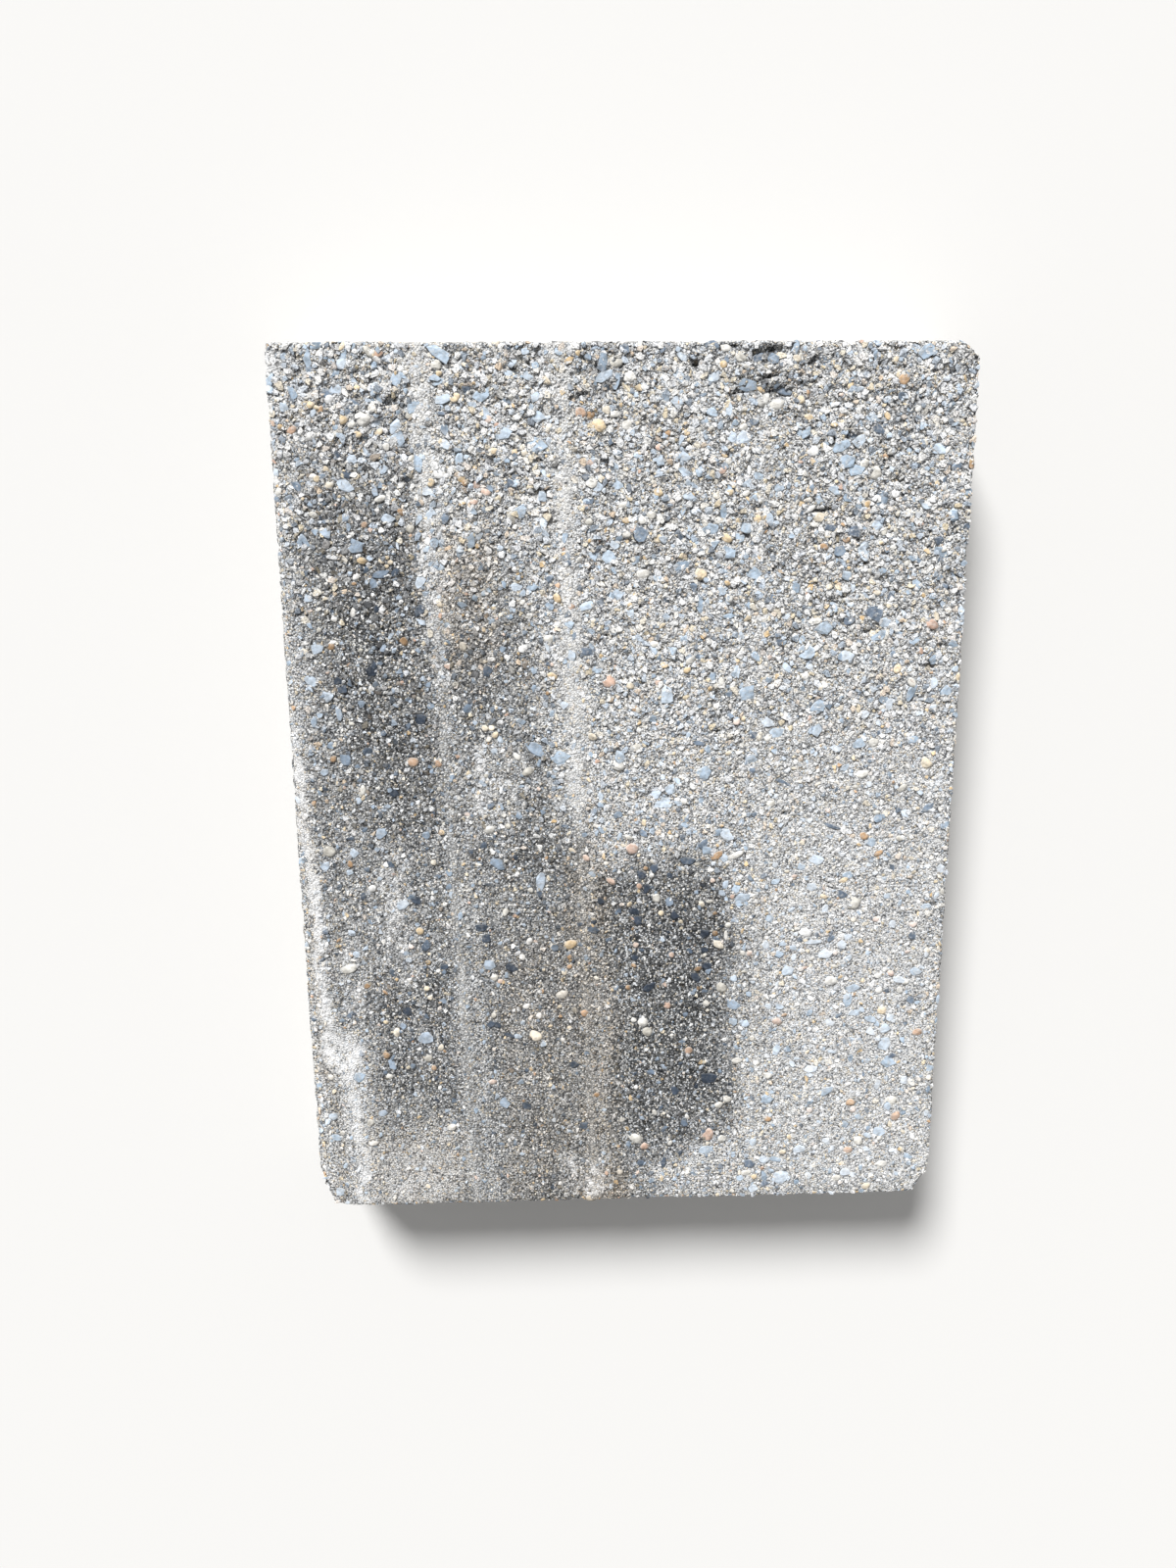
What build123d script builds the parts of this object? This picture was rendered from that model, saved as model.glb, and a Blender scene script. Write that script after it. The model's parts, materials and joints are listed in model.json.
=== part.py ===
from build123d import *
import math
import os

# The slab lies on its smooth wearing face, rough bed face up.
# X runs across it, Y along it, and the origin is the middle of the wearing face.

# Overall size in millimetres
width = 300.0
length = 400.0
thickness = 60.0

# Upright corners, as cast, and the upper right one that wear has rounded at the bed face
corner_radius = 3.0
worn_corner_radius = 14.0

# Small bevel round the wearing face, and the wear round the bed face
wearing_bevel = 2.0
bed_arris = 1.2

# Fins of mortar that rose in the joints between the boards the bed face was cast on
joint_from_left = 69.8
joint_pitch = 59.0
last_joint_pitch = 81.6
joint_slant = 1.85
last_joint_slant = 0.6
fin_width = 6.0
fin_height = 0.8
last_fin_height = 0.4
fin_root = 1.0

# Broken left arris: at each distance from the lower end, how far the break reaches
# in from the left side, and how far it drops at that side
left_break = [
    (400.0, 3.0, 2.0),
    (215.0, 3.5, 2.5),
    (145.0, 7.0, 3.0),
    (97.0, 7.5, 3.5),
    (83.0, 24.0, 4.5),
    (71.0, 17.0, 5.0),
    (0.0, 21.0, 7.0),
]
break_overrun = 8.0

# Shallow spall in the upper arris, near the worn corner
spall_from_right = 29.0
spall_length = 32.0
spall_bite = 1.6

# Corners knocked off at the lower end: how far each reaches across, along and down
right_knock = (9.0, 15.0, 22.0)
left_knock = (8.0, 24.0, 30.0)
knock_block = 120.0


def plan_outline(upper_right_radius):
    """Plan of the slab, with its own radius at the upper right corner."""
    outline = Rectangle(width, length)
    by_corner = sorted(outline.vertices(), key=lambda corner: corner.X + corner.Y)
    outline = fillet(by_corner[:-1], corner_radius)
    upper_right = max(outline.vertices(), key=lambda corner: corner.X + corner.Y)
    return fillet(upper_right, upper_right_radius)


def cast_block():
    """Block as cast, bevelled round the wearing face and worn round the bed face."""
    block = extrude(plan_outline(corner_radius), thickness)
    block = chamfer(block.faces().sort_by(Axis.Z)[0].edges(), wearing_bevel)
    block = chamfer(block.faces().sort_by(Axis.Z)[-1].edges(), bed_arris)
    foot = plan_outline(corner_radius)
    head = Pos(0, 0, thickness) * plan_outline(worn_corner_radius)
    return block & loft([foot.face(), head.face()], ruled=True)


def board_fin(from_left, slant, height):
    """One low rounded fin, as long as the flat of the bed face."""
    half = fin_width / 2
    crest = ThreePointArc((-half, 0), (0, height), (half, 0))
    sides = Polyline((half, 0), (half, -fin_root), (-half, -fin_root), (-half, 0))
    section = Plane.XZ * make_face(crest + sides)
    bar = extrude(section, length, both=True)
    bar = Pos(from_left - width / 2, 0, thickness) * Rot(0, 0, slant) * bar
    flat = offset(plan_outline(worn_corner_radius), -bed_arris)
    return bar & extrude(Pos(0, 0, thickness - fin_root) * flat, fin_root + height)


def left_break_cutter():
    """Ruled wedge that takes the left arris off, station by station."""
    sections = []
    for from_end, reach, drop in left_break:
        y = from_end - length / 2
        if from_end == 0:
            y = -length / 2 - break_overrun
        slope = drop / reach
        inner = reach + break_overrun
        left = -width / 2 - break_overrun
        low = thickness - drop - break_overrun * slope
        high = thickness + break_overrun * slope
        corners = [(left, low), (left + break_overrun + inner, high), (left, high)]
        wire = Polyline(*[(x, y, z) for x, z in corners], close=True)
        sections.append(Face(Wire(wire.edges())))
    return loft(sections, ruled=True)


def upper_spall():
    """Sphere that bites a shallow shell-shaped flake out of the upper arris."""
    half = spall_length / 2
    radius = (half**2 + spall_bite**2) / (2 * spall_bite)
    stand_off = (radius - spall_bite) / math.sqrt(2)
    x = width / 2 - spall_from_right
    return Pos(x, length / 2 + stand_off, thickness + stand_off) * Sphere(radius)


def corner_knock(side, knock):
    """Block whose face passes through the three ends of a knocked-off corner."""
    across, along, down = knock
    corner = Vector(side * width / 2, -length / 2, thickness)
    on_end = corner - Vector(side * across, 0, 0)
    outward = Vector(side / across, -1 / along, 1 / down)
    plane = Plane(origin=on_end, z_dir=outward)
    return extrude(plane * Rectangle(knock_block, knock_block), knock_block)


def paving_slab():
    """The whole slab, one casting."""
    slab = cast_block()
    first = joint_from_left
    second = first + joint_pitch
    last = second + last_joint_pitch
    slab += board_fin(first, joint_slant, fin_height)
    slab += board_fin(second, joint_slant, fin_height)
    slab += board_fin(last, last_joint_slant, last_fin_height)
    slab -= left_break_cutter()
    slab -= upper_spall()
    slab -= corner_knock(1, right_knock)
    slab -= corner_knock(-1, left_knock)
    return slab


os.makedirs("parts", exist_ok=True)
export_step(paving_slab(), "parts/slab.step")
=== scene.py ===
import json
import math

import bmesh
import bpy
import numpy as np
from mathutils import Euler, Matrix, Vector, noise
from mathutils.bvhtree import BVHTree

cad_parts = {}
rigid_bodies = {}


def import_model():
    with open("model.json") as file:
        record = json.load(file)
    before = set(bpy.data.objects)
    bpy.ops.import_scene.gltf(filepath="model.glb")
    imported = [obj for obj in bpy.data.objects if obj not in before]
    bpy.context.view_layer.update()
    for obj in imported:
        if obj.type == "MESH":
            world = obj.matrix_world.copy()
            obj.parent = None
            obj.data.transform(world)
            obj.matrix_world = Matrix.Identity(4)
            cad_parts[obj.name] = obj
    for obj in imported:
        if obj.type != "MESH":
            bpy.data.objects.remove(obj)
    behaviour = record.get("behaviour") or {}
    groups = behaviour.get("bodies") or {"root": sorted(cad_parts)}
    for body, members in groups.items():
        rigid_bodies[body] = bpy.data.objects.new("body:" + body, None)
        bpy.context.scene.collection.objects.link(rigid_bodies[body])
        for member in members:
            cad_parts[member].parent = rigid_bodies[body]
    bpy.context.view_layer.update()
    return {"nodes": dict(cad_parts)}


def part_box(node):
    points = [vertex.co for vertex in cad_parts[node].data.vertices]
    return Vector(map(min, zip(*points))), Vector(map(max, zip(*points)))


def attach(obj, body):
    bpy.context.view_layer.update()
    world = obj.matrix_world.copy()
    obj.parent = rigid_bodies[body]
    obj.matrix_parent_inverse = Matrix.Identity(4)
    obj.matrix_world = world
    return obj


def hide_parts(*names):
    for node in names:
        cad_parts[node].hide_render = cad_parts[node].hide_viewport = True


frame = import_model()

# The slab itself: one casting of earth-damp concrete, pressed with its rough bed face
# against boards. The solid gives its outline, fins, broken arris and corners, and this
# closed shell of small cells is drawn onto it, so that its skin can be worked.
MM = 0.001
SKIN_CELL = 1.55
FOOT_CELLS = 4
CELL_SHIFT = 0.36
# From how steep a normal, and over what span, a face passes from side to bed.
FACING = (0.5, 0.3)
slab_low, slab_high = (np.array(corner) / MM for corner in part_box("slab"))


def whole_cells(span, multiple):
    """How many skin cells fit along a span, as a multiple of a whole number."""
    return multiple * max(1, round(span / SKIN_CELL / multiple))


def box_shell(low, high):
    """A closed box of small square cells, with larger cells on its underside."""
    across = whole_cells(high[0] - low[0], FOOT_CELLS)
    along = whole_cells(high[1] - low[1], FOOT_CELLS)
    down = whole_cells(high[2] - low[2], 1)
    xs = np.linspace(low[0], high[0], across + 1)
    ys = np.linspace(low[1], high[1], along + 1)
    points = [(x, y, high[2]) for y in ys for x in xs]
    faces = []

    def on_top(i, j):
        return j * (across + 1) + i

    for j in range(along):
        for i in range(across):
            faces.append((on_top(i, j), on_top(i + 1, j), on_top(i + 1, j + 1), on_top(i, j + 1)))

    def round_the_border(wide, deep):
        loop = [(i, 0) for i in range(wide)]
        loop += [(wide, j) for j in range(deep)]
        loop += [(i, deep) for i in range(wide, 0, -1)]
        return loop + [(0, j) for j in range(deep, 0, -1)]

    upper = [on_top(i, j) for i, j in round_the_border(across, along)]
    count = len(upper)
    for z in np.linspace(high[2], low[2], down + 1)[1:-1]:
        lower = list(range(len(points), len(points) + count))
        points += [(points[k][0], points[k][1], z) for k in upper]
        for a in range(count):
            b = (a + 1) % count
            faces.append((upper[a], lower[a], lower[b], upper[b]))
        upper = lower

    wide, deep = across // FOOT_CELLS, along // FOOT_CELLS
    first = len(points)
    points += [(x, y, low[2]) for y in ys[::FOOT_CELLS] for x in xs[::FOOT_CELLS]]

    def below(i, j):
        return first + j * (wide + 1) + i

    for j in range(deep):
        for i in range(wide):
            faces.append((below(i, j), below(i, j + 1), below(i + 1, j + 1), below(i + 1, j)))
    rim = [below(i, j) for i, j in round_the_border(wide, deep)]
    for k, corner in enumerate(rim):
        start = k * FOOT_CELLS
        for a in range(start, start + FOOT_CELLS):
            faces.append((upper[a], corner, upper[(a + 1) % count]))
        faces.append((upper[(start + FOOT_CELLS) % count], corner, rim[(k + 1) % len(rim)]))
    return np.array(points), faces


def new_object(name, data):
    """An object in the scene, at the origin."""
    made = bpy.data.objects.new(name, data)
    bpy.context.scene.collection.objects.link(made)
    return made


def new_mesh_object(name, points, faces):
    """A mesh object from points in millimetres."""
    mesh = bpy.data.meshes.new(name)
    mesh.from_pydata([tuple(p) for p in np.asarray(points) * MM], [], faces)
    mesh.update()
    return new_object(name, mesh)


def read_points(mesh, kind="co", unit=MM):
    """What a mesh holds for its points, such as their places in millimetres."""
    flat = np.empty(len(mesh.vertices) * 3)
    mesh.vertices.foreach_get(kind, flat)
    return flat.reshape(-1, 3) / unit


def write_points(mesh, points):
    """Moves a mesh's points to these places, in millimetres."""
    mesh.vertices.foreach_set("co", (np.asarray(points) * MM).ravel())
    mesh.update()


def ease(value):
    """Runs smoothly from 0 to 1 as the value does."""
    t = np.clip(value, 0, 1)
    return t * t * (3 - 2 * t)


def fade(value, start, span):
    """Runs smoothly from 0 at the start to 1 a span further up, or down if it is negative."""
    return ease((value - start) / span)


shell_points, shell_faces = box_shell(slab_low, slab_high)
chance = np.random.default_rng(7)
inside = (np.abs(shell_points[:, :2]) < slab_high[:2] - SKIN_CELL).all(axis=1)
shift = chance.uniform(-CELL_SHIFT, CELL_SHIFT, (len(shell_points), 2)) * SKIN_CELL
shell_points[:, :2] += shift * inside[:, None]
slab_body = new_mesh_object("slab_concrete", shell_points, shell_faces)
cad_mesh = frame["nodes"]["slab"].data
cad_faces = [tuple(face.vertices) for face in cad_mesh.polygons]
cad_tree = BVHTree.FromPolygons([v.co for v in cad_mesh.vertices], cad_faces)
snapped = [cad_tree.find_nearest(Vector(p) * MM)[0] / MM for p in shell_points]
write_points(slab_body.data, [tuple(p) for p in snapped])
points = read_points(slab_body.data)
normals = read_points(slab_body.data, "normal", 1)
bed = fade(normals[:, 2], *FACING)
wearing = fade(-normals[:, 2], *FACING)
side = np.clip(1 - bed - wearing, 0, 1)


# What years outdoors did to the bed face. Along the board joints the mortar rose as
# pale smooth fins. Water ran down between them and left dark algae and brown dirt in
# columns, and lime has whitened the broken left arris and a few runs.
BOARD_LEAN = 0.0325
# Each fin is its upper end, its lower end, half its width and its strength.
BOARD_FINS = (
    ((-86.7, 200), (-82.8, 80), 4.4, 0.7),
    ((-82.3, 80), (-72.7, -200), 2.4, 0.40),
    ((-76.6, -38), (-77.8, -128), 0.8, 0.60),
    ((-28.5, 200), (-22.5, 5), 4.6, 0.8),
    ((-22.5, 5), (-14.7, -200), 2.4, 0.4),
    ((58.3, 200), (62.5, -200), 3.0, 0.3),
)
BREAK_CREST = (
    (-149.0, 62), (-147.4, 30), (-145.8, 0), (-143.4, -42), (-142.4, -84), (-141.2, -104),
    (-137.0, -112), (-126.0, -118), (-133.0, -127), (-130.0, -150), (-128.2, -164), (-128.6, -200),
)
CREST_HALF = 2.9
RIM_HALF = 3.2
SPLASH_PLACE = (-149, 191)
SPLASH_SIZE = (5.5, 4.5)

# Each run is its left, right, upper and lower limits, how softly its sides, its head
# and its foot fade, and its strength. Runs lean with the board joints.
DAMP_AND_SHADE_RUNS = (
    (-136, -112, 150, -6, 12, 50, 26, 0.44), (-128, -108, 100, 20, 16, 50, 24, 0.42),
    (-116, -86, 160, -158, 8, 40, 26, 0.48), (-111, -87, 126, -8, 7, 30, 16, 0.50),
    (-140, -112, 2, -104, 10, 20, 20, 0.40), (-126, -88, -76, -148, 10, 16, 26, 0.38),
    (-124, -112, -112, -164, 10, 16, 20, 0.36), (-149, -142, -128, -215, 5, 14, 5, 0.30),
    (-74, -36, 116, -10, 10, 60, 20, 0.31), (-75, -42, 88, 34, 12, 30, 20, 0.30),
    (-75, -60, 76, 20, 8, 30, 20, 0.24), (-52, -33, 32, -30, 8, 16, 14, 0.36),
    (-71, -18, -8, -128, 8, 18, 16, 0.57), (-71, -18, -128, -215, 8, 16, 10, 0.50),
    (-52, -28, -120, -215, 14, 40, 10, 0.20), (-86, -74, 92, -215, 5, 40, 10, 0.26),
    (-143, -132, 125, -60, 6, 30, 20, 0.22), (-103, -93, 16, -102, 7, 20, 20, 0.24),
    (-89, -79, 62, -165, 5, 24, 20, 0.26), (-15, 46, -27, -166, 10, 18, 16, 0.72),
    (-4, 41, -38, -150, 10, 14, 16, 0.42), (-2, 34, -60, -140, 12, 20, 20, 0.24),
    (40, 58, -44, -112, 12, 20, 20, 0.26), (-15, 22, -164, -184, 8, 12, 10, 0.50),
    (-16, 6, -180, -215, 8, 10, 10, 0.46), (-130, -84, -165, -215, 10, 10, 10, 0.14),
    (-150, 150, -196, -215, 8, 5, 5, 0.14), (-79, -68, 20, -215, 4, 20, 5, 0.16),
    # The two runs on the next line are painted shade, where stones shade hollows near the upper
    # end.
    (48, 72, 188, 176, 5, 5, 5, 0.34), (-12, 2, 202, 180, 5, 5, 6, 0.22),
    (-127, -117, 136, 74, 7, 12, 14, 0.26), (-126, -118, -100, -176, 5, 8, 10, 0.14),
    (-103, -86, -76, -98, 6, 8, 8, 0.18), (-30, -22, 16, -18, 5, 10, 8, 0.26),
    (-14, -6, 90, 60, 4, 8, 8, 0.18), (12, 36, -48, -68, 8, 10, 8, 0.20),
    (-2, 26, -142, -176, 8, 12, 10, 0.24), (38, 50, -112, -146, 5, 8, 10, 0.34),
)
LIME_RUNS = (
    (-115, -101, -14, -84, 12, 20, 22, 0.31), (-131, -117, -38, -92, 8, 14, 14, 0.12),
    (-71, -46, 30, -8, 9, 12, 14, 0.30), (-148, -130, -110, -124, 6, 6, 7, 0.48),
    (-142, -128, -122, -215, 8, 8, 4, 0.22), (-136, -122, -66, -100, 8, 10, 10, 0.20),
    (-36, -18, -172, -215, 8, 10, 5, 0.30),
)
# The same, where the lime is an even bloom.
BLOOM_RUNS = (
    (-88, -74, 200, 84, 6, 26, 24, 0.22), (-31, -14, 210, 4, 7, 10, 20, 0.19),
    (-128, -90, -165, -215, 14, 20, 4, 0.34), (62, 150, 60, -215, 30, 160, 5, 0.32),
)
DIRT_RUNS = (
    (-78, -54, 122, 66, 8, 24, 20, 0.50), (-28, -8, -18, -215, 6, 24, 8, 0.50),
    (-64, -28, -60, -215, 12, 40, 8, 0.35), (-132, -84, -158, -215, 10, 14, 8, 0.35),
    (-30, -4, -182, -215, 8, 8, 6, 0.60), (-150, -143, 20, -215, 4, 30, 5, 0.30),
)
# Where cement closed the face, so that few stones show and the sand is fine.
CLOSED_RUNS = (
    (-150, -142, 130, -215, 4, 60, 5, 0.85), (-142, -84, 110, -215, 12, 80, 5, 0.62),
    (-142, -70, -110, -215, 14, 50, 5, 0.85), (-84, -12, 110, -215, 14, 80, 5, 0.50),
    (-84, 52, -26, -215, 14, 60, 5, 0.50), (-84, 10, -90, -215, 14, 60, 5, 0.45),
    (48, 150, 10, -215, 20, 200, 5, 0.45), (-16, 48, -30, -175, 10, 16, 14, 0.50),
)
# How much lime the crest, the rim and the splash hold, how much damp stays off fins
# and off lime, and how far lime is drawn out downwards.
CREST_LIME = 0.76
RIM_LIME = 0.2
SPLASH_LIME = 0.85
FIN_SHEDS = 0.46
LIME_SHEDS = 0.8
STREAK = 0.7
# Edges and strengths waver in lumps. Each wave is its reach, the size of its lumps in
# millimetres and its seed.
WAVES = {
    "fin edge": ((1.2, 13, 3),),
    "fin strength": ((0.45, 17, 4), (0.30, 3.1, 9)),
    "crest edge": ((1.2, 8, 5), (0.9, 2.6, 10)),
    "crest strength": ((0.4, 2.2, 6), (0.3, 9, 7)),
    "rim edge": ((0.8, 10, 8),),
    "run sides": ((2.6, 21, 11), (1.4, 7, 12)),
    "run ends": ((6.0, 27, 13), (2.5, 8, 14)),
    "run speckle": ((0.5, 5.5, 15), (1.0, 2.0, 16)),
    "lime streaks": ((1.1, 3.2, 17),),
    "lime specks": ((0.9, 1.7, 22),),
    "bloom": ((0.4, 3.4, 23),),
    "damp": ((0.12, 2.6, 18), (0.08, 12, 19)),
    "dirt": ((0.3, 6, 20),),
    "splash edge": ((0.35, 2.4, 21),),
    "crevice edge": ((0.5, 2.1, 24),),
}


def drift(x, y, size, seed):
    """Smooth random values from -1 to 1, in lumps of this many millimetres."""
    lattice = np.random.default_rng(seed).uniform(-1, 1, (257, 257))
    u, v = np.asarray(x) / size + 128, np.asarray(y) / size + 128
    i, j = np.floor(u).astype(int), np.floor(v).astype(int)
    s, t = ease(u - i), ease(v - j)
    i, j = i % 256, j % 256
    near = lattice[i, j] * (1 - s) + lattice[i + 1, j] * s
    far = lattice[i, j + 1] * (1 - s) + lattice[i + 1, j + 1] * s
    return near * (1 - t) + far * t


def waver(value, x, y, kind):
    """A value with its kind of waves added."""
    return sum((reach * drift(x, y, size, seed) for reach, size, seed in WAVES[kind]), value)


def away_from_path(x, y, path):
    """How far points lie from a path of straight stretches."""
    legs = []
    for start, end in zip(path, path[1:]):
        run = np.subtract(end, start)
        t = ((x - start[0]) * run[0] + (y - start[1]) * run[1]) / (run @ run)
        t = np.clip(t, 0, 1)
        legs.append(np.hypot(x - start[0] - t * run[0], y - start[1] - t * run[1]))
    return np.min(legs, axis=0)


def band(away, half_width):
    """Full along the middle of a band, half of that at its edge, and nothing beyond."""
    return ease(1.5 - away / half_width)


def run_down(x, y, runs):
    """How strongly runs cover points: blotchy where they fade, laid over each other."""
    bent_x = waver(x + BOARD_LEAN * y, x, y, "run sides")
    bent_y = waver(y, x, y, "run ends")
    speckle = waver(0, x, y, "run speckle")
    clear = np.ones(np.shape(x))
    for left, right, upper, lower, sides, head, foot, strength in runs:
        across = ease((bent_x - left) / sides + 0.5) * ease((right - bent_x) / sides + 0.5)
        down = ease((upper - bent_y) / head + 0.5) * ease((bent_y - lower) / foot + 0.5)
        cover = across * down
        cover = np.clip(cover + speckle * cover * (1 - cover), 0, 1)
        clear = clear * (1 - strength * cover)
    return 1 - clear


def fins_at(x, y):
    """How much of a fin of risen mortar there is at points."""
    fin = np.zeros(np.shape(x))
    for start, end, half_width, strength in BOARD_FINS:
        away = away_from_path(waver(x, x, y, "fin edge"), y, (start, end))
        broken = waver(0.75, x, y, "fin strength")
        fin = np.maximum(fin, strength * broken * band(away, half_width))
    return np.clip(fin, 0, 1)


def crest_at(x, y):
    """How near points are to the crest of the broken arris, which thins at both ends."""
    away = away_from_path(waver(x, x, y, "crest edge"), y, BREAK_CREST)
    worn = 1 - 0.3 * fade(y, -124, -14)
    rising = fade(y, 75, -60) * (0.84 + 0.16 * fade(y, 10, -30))
    crest = band(away, CREST_HALF) * waver(0.88, x, y, "crest strength") * worn * rising
    return np.clip(crest, 0, 1)


def left_rim_at(x, y):
    """The smooth pale strip along the unbroken length of the left arris."""
    inward = waver(x - slab_low[0], x, y, "rim edge")
    return band(inward, RIM_HALF) * fade(y, -10, 70)


def splash_at(x, y):
    """A white splash of lime at the upper end of the left arris."""
    across = (x - SPLASH_PLACE[0]) / SPLASH_SIZE[0]
    along = (y - SPLASH_PLACE[1]) / SPLASH_SIZE[1]
    return ease(waver(1.7 - np.hypot(across, along), x, y, "splash edge"))


def weather_at(x, y):
    """Damp, lime and dirt at points of the bed face."""
    patchy = waver(waver(1, x, STREAK * y, "lime streaks"), x, y, "lime specks")
    limes = (
        CREST_LIME * crest_at(x, y),
        RIM_LIME * left_rim_at(x, y),
        SPLASH_LIME * splash_at(x, y),
        run_down(x, y, LIME_RUNS) * np.clip(patchy, 0, 2),
        run_down(x, y, BLOOM_RUNS) * waver(0.95, x, y, "bloom"),
    )
    lime = np.max(limes, axis=0)
    damp = run_down(x, y, DAMP_AND_SHADE_RUNS) * waver(1, x, y, "damp")
    damp = damp * (1 - FIN_SHEDS * fins_at(x, y)) * (1 - LIME_SHEDS * lime)
    dirt = run_down(x, y, DIRT_RUNS) * waver(0.85, x, y, "dirt")
    found = {"damp": damp, "lime": lime, "dirt": dirt}
    return {name: np.clip(value, 0, 1) for name, value in found.items()}


x, y, z = points.T
few_stones = run_down(x, y, CLOSED_RUNS)
worn_rim = fade(x, slab_low[0] + 9, -4) * fade(y, 70, -60)
weather = weather_at(x, y)
weather["fin"] = fins_at(x, y) * bed
weather["rim"] = np.clip(left_rim_at(x, y) + 0.8 * worn_rim, 0, 1)


# The open skin of the bed face: stones pushed up under a coat of cement, hollows that
# the dry mix left between them, and near the upper end a few deep crevices, as x, y,
# length, width and turn. The moulded sides are closed and nearly smooth.
CREVICES = (
    (60.5, 196.3, 11, 2.4, 4), (57, 192.4, 9, 1.8, -6), (60, 185.6, 6, 1.8, 12),
    (49, 179.2, 7, 2.0, 10), (65.5, 179.6, 9, 2.2, -4), (29.4, 190.5, 3, 3, 0),
    (79.4, 191.7, 4, 1.6, 30), (84, 130.6, 9, 1.4, 4), (43, 197.5, 8, 2.0, 0),
    (-46, 188, 5, 1.6, -20), (-100, 176, 5, 1.8, 25), (-20, 178, 5, 1.6, 15),
)
CREVICE_DEPTH = 2.0
# Swells of the whole face, as height and length, and the stones under the cement, as
# their width, their rise, a step from one stone's rise to the next, and the depth and
# the width of the grooves between them.
SWELLS = ((0.30, 36), (0.20, 14))
STONES_UNDER = ((6.5, 0.8, 5.3, 0.5, 0.25), (3.4, 1.2, 7.7, 0.6, 0.35))
HOLLOW_FROM = 0.27
HOLLOW_DEPTH = 2.8
BED_SINK = 0.10
SIDE_SINK = 0.25
WEARING_SINK = 0.12
SKIN_ROOM = (0.06, 0.06, 0.0)
ARRIS_WIDTH = 3.5
TOP_LEVEL = 0.25
TOP_SPREAD = 0.3


def write_value(mesh, name, values):
    """Stores one number a point, which materials and scatters read by name."""
    layer = mesh.attributes.get(name) or mesh.attributes.new(name, "FLOAT", "POINT")
    layer.data.foreach_set("value", np.asarray(values, float))


def crevices_at(x, y):
    """How deep in a crevice points are."""
    deep = np.zeros(np.shape(x))
    for across, along, length, width, turn in CREVICES:
        c, s = math.cos(math.radians(turn)), math.sin(math.radians(turn))
        u, v = x - across, y - along
        aside = waver(v * c - u * s, x, y, "crevice edge")
        off = np.hypot((u * c + v * s) / length, aside / width)
        deep = np.maximum(deep, fade(off, 0.95, -0.45))
    return deep


def stones_and_hollows(place):
    """How far the skin stands out at a place, in millimetres."""
    p = Vector(place)
    level = sum(height * noise.noise(p / span) for height, span in SWELLS)
    for width, rise, step, groove, edge in STONES_UNDER:
        reach, seeds = noise.voronoi(p / width)
        between = max(0.0, 1 - (reach[1] - reach[0]) / edge)
        level += rise * noise.noise(seeds[0] * step) - groove * between
    hollow = max(0.0, noise.noise(Vector((p.x / 5.0 + 40, p.y / 3.2, p.z / 5))) - HOLLOW_FROM)
    return level - HOLLOW_DEPTH * hollow


def thinned(amount, **shares):
    """An amount on the skin, less these shares of what lies there already."""
    for name, share in shares.items():
        amount = amount * (1 - share * weather[name])
    return amount


relief = np.array([stones_and_hollows(p) for p in points])
relief -= np.average(relief, weights=bed)
relief = np.where(relief > TOP_LEVEL, TOP_LEVEL + TOP_SPREAD * (relief - TOP_LEVEL), relief)
crevice = crevices_at(x, y) * bed
off_edges = np.sort(np.minimum(points - slab_low, slab_high - points), axis=1)[:, 1]
near_bed = fade(z - slab_high[2], -16, 10)
bold = 0.75 + 0.65 * fade(y, -60, 220)
open_skin = thinned(bed, fin=0.4, rim=0.6) * (1.1 - 0.6 * few_stones)
rough = open_skin * bold + (0.4 + 0.7 * near_bed) * side + 0.06 * wearing
rough *= 0.6 + 0.4 * ease(off_edges / ARRIS_WIDTH)
sink = BED_SINK * bed + SIDE_SINK * side + WEARING_SINK * wearing + CREVICE_DEPTH * crevice
points = points + normals * (relief * rough - sink)[:, None]
points = np.clip(points, slab_low + SKIN_ROOM, slab_high - SKIN_ROOM)
write_points(slab_body.data, points)

# Painted shade: hollows, the more the higher up they lie, and most of all crevices, are darkened as
# the damp is.
hollow = (0.30 + 0.10 * fade(y, 20, 150)) * fade(-relief * rough, 0.6, 1.1)
weather["damp"] = 1 - (1 - weather["damp"]) * (1 - hollow) * (1 - 0.9 * crevice)
exposure = bed + 0.5 * side
for name in ("damp", "lime", "dirt"):
    write_value(slab_body.data, name, weather[name] * exposure)
write_value(slab_body.data, "fin", weather["fin"])
write_value(slab_body.data, "wearing", wearing)
write_value(slab_body.data, "moulded", side * (1 - 0.55 * near_bed))
slab_body.data.polygons.foreach_set("use_smooth", [True] * len(slab_body.data.polygons))
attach(slab_body, "root")
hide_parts("slab")


# Pressed concrete: grey cement paste full of fine sand, cast against boards. To the eye
# it is matt, pale and speckled, with shade painted dark between its fine grains, and each grain
# shows by its shadow.
# Cement closed its fins, its moulded sides and its wearing face to a calmer grey.
TIMES = {"operation": "MULTIPLY"}
MINUS = {"operation": "SUBTRACT"}
TIMES_AND_PLUS = {"operation": "MULTIPLY_ADD"}
COVERING = {"data_type": "RGBA"}
DARKENING = {"data_type": "RGBA", "blend_type": "MULTIPLY"}
SAND_IN_PASTE = (
    (0.00, "#828386"), (0.12, "#B4B4B5"), (0.30, "#DEDEDE"), (0.50, "#F2F2F1"), (0.66, "#FBFBFA"),
    (0.74, "#EADCC4"), (0.80, "#F8F5EF"), (0.90, "#CBD5E0"), (1.00, "#FEFEFF"),
)
# Painted shade, dark between the fine grains of the paste.
GRAIN_GAP_SHADE = ((0.36, "#FFFFFF"), (0.78, "#66676A"))
CLOUDS = ((7, 3.0, "#EEEEED"), (60, 2.0, "#F3F3F2"))
CLOSED_BY_CEMENT = (
    ("fin", 0.60, "#F5F4F1"), ("wearing", 0.75, "#BFBDB9"), ("moulded", 0.7, "#BDBBB7"),
)
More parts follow.
